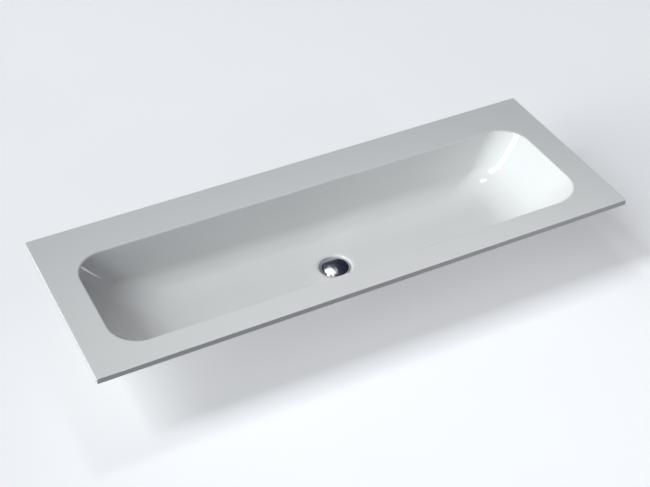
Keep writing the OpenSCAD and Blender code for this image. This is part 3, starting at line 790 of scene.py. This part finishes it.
# %% Sweep the spring's wire
spring_rings = []
for turn in np.linspace(0, turns, int(turns * steps_a_turn) + 1):
    a = 2 * math.pi * turn
    k = 2 * math.pi * np.arange(sides) / sides
    r = spring_r + wire_r * np.cos(k)
    spring_rings.append(np.stack([r * math.cos(a), drain_y + r * math.sin(a),
                                  spring_height(turn) - wire_r * np.sin(k)], -1))
spring = skin("latch_spring_wire", spring_rings, caps=True)
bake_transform(spring)
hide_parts("latch_spring")
print("spring from", round(spring_low[2], 2), "to", round(spring_high[2], 2))

# %% [markdown]
# ## Shader maths
#
# Finishes are written as expressions. A small class wraps a node's output, so that adding or
# multiplying it adds a Math node, and one method makes any other node.

# %% Wrap a shader socket
class Wire:
    def __init__(self, tree, socket=None):
        self.tree, self.socket = tree, socket

    def node(self, kind, settings=None, sockets=None, out=0):
        """Adds a node: its settings first, then values or wires on its input sockets."""
        made = self.tree.nodes.new(kind)
        for key, value in (settings or {}).items():
            setattr(made, key, value)
        for key, value in (sockets or {}).items():
            plug = made.inputs[key]
            if isinstance(value, Wire):
                self.tree.links.new(value.socket, plug)
            else:
                plug.default_value = value
        return Wire(self.tree, made.outputs[out]) if made.outputs else None

    def maths(self, operation, a, b):
        return self.node("ShaderNodeMath", {"operation": operation}, {0: a, 1: b})

    def __add__(self, other):
        return self.maths("ADD", self, other)

    def __radd__(self, other):
        return self.maths("ADD", other, self)

    def __mul__(self, other):
        return self.maths("MULTIPLY", self, other)

    def __rmul__(self, other):
        return self.maths("MULTIPLY", other, self)


# %% Start a new finish
def new_finish(name):
    """A new material, its wire, and the place on the object that its patterns follow."""
    material = bpy.data.materials.new(name)
    material.use_nodes = True
    material.node_tree.nodes.clear()
    wire = Wire(material.node_tree)
    return material, wire, wire.node("ShaderNodeTexCoord", out="Object")


# %% Helpers for noise, blended colours, bumps and the shader itself
def noise(wire, place, scale, detail=2.0, rough=0.5):
    return wire.node("ShaderNodeTexNoise", {}, {"Vector": place, "Scale": scale, "Detail": detail,
                                               "Roughness": rough, "Distortion": 0.0})


MIX_SHARE, MIX_FIRST, MIX_SECOND, MIX_COLOUR = 0, 6, 7, 2


def between(wire, share, first, second):
    """Mixes two colours, each a wire or three numbers."""
    first, second = (end if isinstance(end, Wire) else (*end, 1) for end in (first, second))
    return wire.node("ShaderNodeMix", {"data_type": "RGBA"},
                     {MIX_SHARE: share, MIX_FIRST: first, MIX_SECOND: second}, MIX_COLOUR)


def soft_step(wire, value, low, high):
    """0 up to low, 1 from high on, and a smooth change between them."""
    return wire.node("ShaderNodeMapRange", {"interpolation_type": "SMOOTHSTEP"},
                     {"Value": value, "From Min": low, "From Max": high})


def bumped(wire, strength, distance, height):
    return wire.node("ShaderNodeBump", {}, {"Strength": strength, "Distance": distance, "Height": height})


def shader(material, wire, sockets):
    surface = wire.node("ShaderNodeBsdfPrincipled", {}, sockets)
    wire.node("ShaderNodeOutputMaterial", {}, {"Surface": surface})
    print(material.name, "has", len(material.node_tree.nodes), "nodes")
    return material


# %% [markdown]
# ## White glaze
#
# The glaze is glassy, but it isn't a perfect mirror: its surface rolls very slightly, and its white
# drifts a little. The underside stands on kiln shelves and stays unglazed, so it is matt and warm.

# %% White glaze finish
def white_glaze():
    material, w, place = new_finish("white_glaze")
    facing = w.node("ShaderNodeNewGeometry", out="Normal")
    facing_z = w.node("ShaderNodeSeparateXYZ", {}, {"Vector": facing}, "Z")
    bare = soft_step(w, facing_z, -0.08, -0.22)
    drift = noise(w, place, 7.0, 3.0)
    grain = noise(w, place, 900.0, 2.0)
    glazed = between(w, drift, (0.80, 0.805, 0.80), (0.83, 0.835, 0.83))
    biscuit = between(w, grain, (0.70, 0.68, 0.63), (0.78, 0.76, 0.71))
    colour = between(w, bare, glazed, biscuit)
    rough = 0.035 + 0.03 * noise(w, place, 25.0, 4.0) + 0.5 * bare
    roll = noise(w, place, 16.0, 1.0) + 0.25 * grain * bare
    bump = bumped(w, 0.10, 0.0006, roll)
    return shader(material, w, {"Base Color": colour, "Roughness": rough, "IOR": 1.52, "Normal": bump})


glaze = white_glaze()

# %% [markdown]
# ## Chrome
#
# Chrome plating is a dark mirror with a faint blue cast. Wiping leaves hair-thin marks and soft
# smudges, which only change its roughness a little.

# %% Chrome finish
def chrome():
    material, w, place = new_finish("chrome_plate")
    smudge = noise(w, place, 60.0, 5.0, 0.6)
    fine = noise(w, place, 1400.0, 2.0)
    colour = between(w, smudge, (0.86, 0.875, 0.90), (0.92, 0.93, 0.94))
    rough = 0.03 + 0.05 * smudge + 0.02 * fine
    bump = bumped(w, 0.03, 0.0002, fine)
    return shader(material, w, {"Base Color": colour, "Metallic": 1.0, "Roughness": rough, "Normal": bump})


chrome_finish = chrome()

# %% [markdown]
# ## Rubber, plastic, brass and steel
#
# What only a fitter sees is plainer. Rubber has a fine moulded grain and a dusty bloom, plastic a
# soft sheen, and turned brass shows the cutter's rings, which run round its axis. Steel wire is
# drawn, and takes the same fine marks.

# %% Black rubber and white plastic finishes
def rubber():
    material, w, place = new_finish("black_rubber")
    bloom, grain = noise(w, place, 120.0, 4.0), noise(w, place, 2500.0, 2.0)
    colour = between(w, bloom, (0.016, 0.016, 0.017), (0.036, 0.036, 0.037))
    bump = bumped(w, 0.25, 0.0001, grain)
    return shader(material, w, {"Base Color": colour, "Roughness": 0.55 + 0.2 * bloom, "Normal": bump})


def plastic():
    material, w, place = new_finish("white_plastic")
    cloud, grain = noise(w, place, 90.0, 3.0), noise(w, place, 1800.0, 2.0)
    colour = between(w, cloud, (0.70, 0.70, 0.68), (0.76, 0.76, 0.75))
    bump = bumped(w, 0.12, 0.0001, grain)
    return shader(material, w, {"Base Color": colour, "Roughness": 0.32 + 0.12 * cloud, "Normal": bump})


rubber_finish, plastic_finish = rubber(), plastic()

# %% Brass and steel finishes
def turned_metal(name, dark, light, rough_low, rings):
    """rings is how finely the marks follow each other along the axis."""
    material, w, place = new_finish(name)
    stretched = w.node("ShaderNodeMapping", {}, {"Vector": place, "Scale": (40.0, 40.0, rings)})
    marks = noise(w, stretched, 1.0, 3.0)
    stain = noise(w, place, 70.0, 4.0)
    colour = between(w, 0.5 * marks + 0.5 * stain, dark, light)
    rough = rough_low + 0.14 * marks + 0.08 * stain
    bump = bumped(w, 0.15, 0.0001, marks)
    return shader(material, w, {"Base Color": colour, "Metallic": 1.0, "Roughness": rough, "Normal": bump})


brass_finish = turned_metal("turned_brass", (0.62, 0.42, 0.17), (0.80, 0.60, 0.30), 0.18, 2400.0)
steel_finish = turned_metal("spring_steel", (0.52, 0.53, 0.55), (0.74, 0.75, 0.77), 0.16, 900.0)

# %% [markdown]
# ## A finish for every piece
#
# A new piece takes its finish on its mesh. The housing, the plunger and the pin are the CAD model's
# own, and a CAD mesh is never changed, so they take it on the slots of their objects.

# %% Give every piece its finish
def finish_with(material, *pieces):
    for piece in pieces:
        piece.data.materials.clear()
        piece.data.materials.append(material)


finish_with(glaze, basin)
finish_with(chrome_finish, waste_body, hub, *spokes, cap)
finish_with(rubber_finish, flange_seal, tail_seal, plug_seal, bumper)
finish_with(plastic_finish, washer, lid)
finish_with(brass_finish, back_nut, lock_nut, stem)
finish_with(steel_finish, spring)
kept_nodes = {"cartridge_housing": plastic_finish, "latch_plunger": plastic_finish,
              "latch_pin": steel_finish}
for node_name, material in kept_nodes.items():
    for material_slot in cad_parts[node_name].material_slots:
        material_slot.link = "OBJECT"
        material_slot.material = material

# %% [markdown]
# ## Floor and backdrop
#
# The stage is a plain pale floor in a pale world. The camera, mirrors and glass see the floor pale.
# For the light that surfaces send each other it is only a faint even glow, which lights the
# underside a little and leaves the slab's front edge darker than its top. From below the floor is
# clear, so a view from under it still shows the waste.

# %% Tell kinds of light rays apart, and choose between two shaders
PALE = (0.80, 0.81, 0.83, 1)


def any_ray(w, *kinds):
    """1 for a light ray of any of these kinds, else 0."""
    found = w.node("ShaderNodeLightPath", out=kinds[0])
    for kind in kinds[1:]:
        found = w.maths("MAXIMUM", found, w.node("ShaderNodeLightPath", out=kind))
    return found


def either(w, share, first, second):
    """Shows the first shader where share is 0 and the second where it is 1."""
    return w.node("ShaderNodeMixShader", {}, {0: share, 1: first, 2: second})


# %% Pale floor
def pale_stage():
    material, w, place = new_finish("pale_stage")
    seen = any_ray(w, "Is Camera Ray", "Is Glossy Ray", "Is Transmission Ray")
    tone = noise(w, place, 3.0, 2.0)
    faint = w.node("ShaderNodeEmission", {}, {"Color": (0.16, 0.165, 0.19, 1), "Strength": 1.0})
    matt_colour = between(w, tone, (0.74, 0.75, 0.77), (0.78, 0.79, 0.81))
    matt = w.node("ShaderNodeBsdfDiffuse", {}, {"Color": matt_colour})
    glow = w.node("ShaderNodeEmission", {}, {"Color": PALE, "Strength": 0.45})
    pale = w.node("ShaderNodeAddShader", {}, {0: matt, 1: glow})
    clear = w.node("ShaderNodeBsdfTransparent")
    from_below = w.node("ShaderNodeNewGeometry", out="Backfacing")
    surface = either(w, from_below, either(w, seen, faint, pale), clear)
    w.node("ShaderNodeOutputMaterial", {}, {"Surface": surface})
    return material


stage_z, reach = tail_end - 1.0, 9000
floor = mesh_piece("floor", [(-reach, -reach, stage_z), (reach, -reach, stage_z),
                             (reach, reach, stage_z), (-reach, reach, stage_z)], [(0, 1, 2, 3)])
finish_with(pale_stage(), floor)
print("floor at", round(stage_z, 2))

# %% [markdown]
# ## Light
#
# Glossy white is lit with big soft boxes far away, so that each wall gets a smooth change of grey.
# Three cool ones stand far to the left at three heights, and a weak one fills the front. A card on
# the right is mirrored as the pale streak in the left back corner, and a small disc behind is the
# white spot on the cap. A warm spot hangs above, and two narrow ones lift a part of the long wall
# and of the floor. Mirrors don't see those two, because they would show them as bright dots.

# %% Soft boxes
def softbox(name, direction, distance, size, power, tint=(1, 1, 1), target=(0, 0, 0)):
    """An area lamp at a distance from its target, in a direction, facing the target."""
    lamp = bpy.data.lights.new(name, "AREA")
    lamp.shape = "RECTANGLE"
    lamp.size, lamp.size_y = size
    lamp.energy = power
    lamp.color = tint
    holder = in_scene(name, lamp)
    direction = Vector(direction).normalized()
    look_along(holder, Vector(target) + direction * distance, -direction)
    return holder


def toward(azimuth, elevation):
    """Direction with azimuth counted from +X towards +Y, in degrees."""
    a, e = math.radians(azimuth), math.radians(elevation)
    return math.cos(a) * math.cos(e), math.sin(a) * math.cos(e), math.sin(e)


cool = (0.955, 1.0, 1.005)
softbox("low_lamp", toward(185, 9), 30.0, size=(8.4, 8.4), power=4280, tint=cool)
softbox("middle_lamp", toward(195, 28), 30.0, size=(8.4, 8.4), power=1880, tint=cool)
softbox("tall_lamp", toward(177, 51), 30.0, size=(6.4, 14.0), power=4460, tint=cool)
softbox("fill_lamp", toward(-65, 45), 15.0, size=(6.0, 6.0), power=50)
softbox("right_lamp", toward(11, 9.4), 15.0, size=(1.6, 1.0), power=17)
cap_spot = Vector((0, drain_y * MM, cap_top * MM))
cap_lamp = softbox("cap_lamp", toward(63.6, 42.0), 6.0, size=(0.085, 0.085), power=0.24, target=cap_spot)
cap_lamp.data.shape = "DISK"

# %% Spots
def spot(name, place, target, cone, size, power, tint=(1, 1, 1), mirrored=True):
    """A soft-edged spot: cone is its full angle, size its radius, mirrored if mirrors see it."""
    lamp = bpy.data.lights.new(name, "SPOT")
    lamp.energy = power
    lamp.color = tint
    lamp.spot_size, lamp.spot_blend = math.radians(cone), 1.0
    lamp.shadow_soft_size = size
    holder = in_scene(name, lamp)
    look_along(holder, place, Vector(target) - Vector(place))
    holder.visible_glossy = mirrored


spot("over_lamp", (0.0, 0.38, 2.4), (0.0, -0.78, 0.0), cone=50, size=0.2, power=62,
     tint=(1.05, 0.995, 0.98))
spot("wall_lamp", (1.75, -3.4, 1.42), (0.36, 0.12, -0.04), cone=14, size=0.25, power=45, mirrored=False)
spot("floor_lamp", (-1.79, -0.03, 2.56), (-0.38, -0.03, -0.09), cone=10.5, size=0.25, power=35,
     tint=(1.0, 0.995, 0.97), mirrored=False)

# %% [markdown]
# ## Room light
#
# What is behind the lamps is the room. The camera sees it as the pale backdrop, the object is lit
# by it as a dim cool room, and mirrors see it pale near the ground and dark above. Light Path tells
# these apart, so the backdrop's brightness adds no light to the object.

# %% World
world = bpy.data.worlds.new("room")
bpy.context.scene.world = world
world.use_nodes = True
world.node_tree.nodes.clear()
w = Wire(world.node_tree)
up = w.node("ShaderNodeSeparateXYZ", {}, {"Vector": w.node("ShaderNodeTexCoord", out="Generated")}, "Z")
room = between(w, soft_step(w, up, -0.1, 0.6), (0.036, 0.046, 0.07), (0.03, 0.034, 0.05))
mirrored = between(w, soft_step(w, up, 0.05, 0.3), (0.62, 0.63, 0.66), (0.012, 0.014, 0.03))
backdrop = w.node("ShaderNodeBackground", {}, {"Color": PALE, "Strength": 1.0})
dim = w.node("ShaderNodeBackground", {}, {"Color": room, "Strength": 1.0})
shine = w.node("ShaderNodeBackground", {}, {"Color": mirrored, "Strength": 1.0})
lit = either(w, any_ray(w, "Is Glossy Ray", "Is Transmission Ray"), dim, shine)
shown = either(w, any_ray(w, "Is Camera Ray"), lit, backdrop)
w.node("ShaderNodeOutputWorld", {}, {"Surface": shown})
bpy.context.scene.view_settings.view_transform = "Standard"
print("world nodes:", len(world.node_tree.nodes))
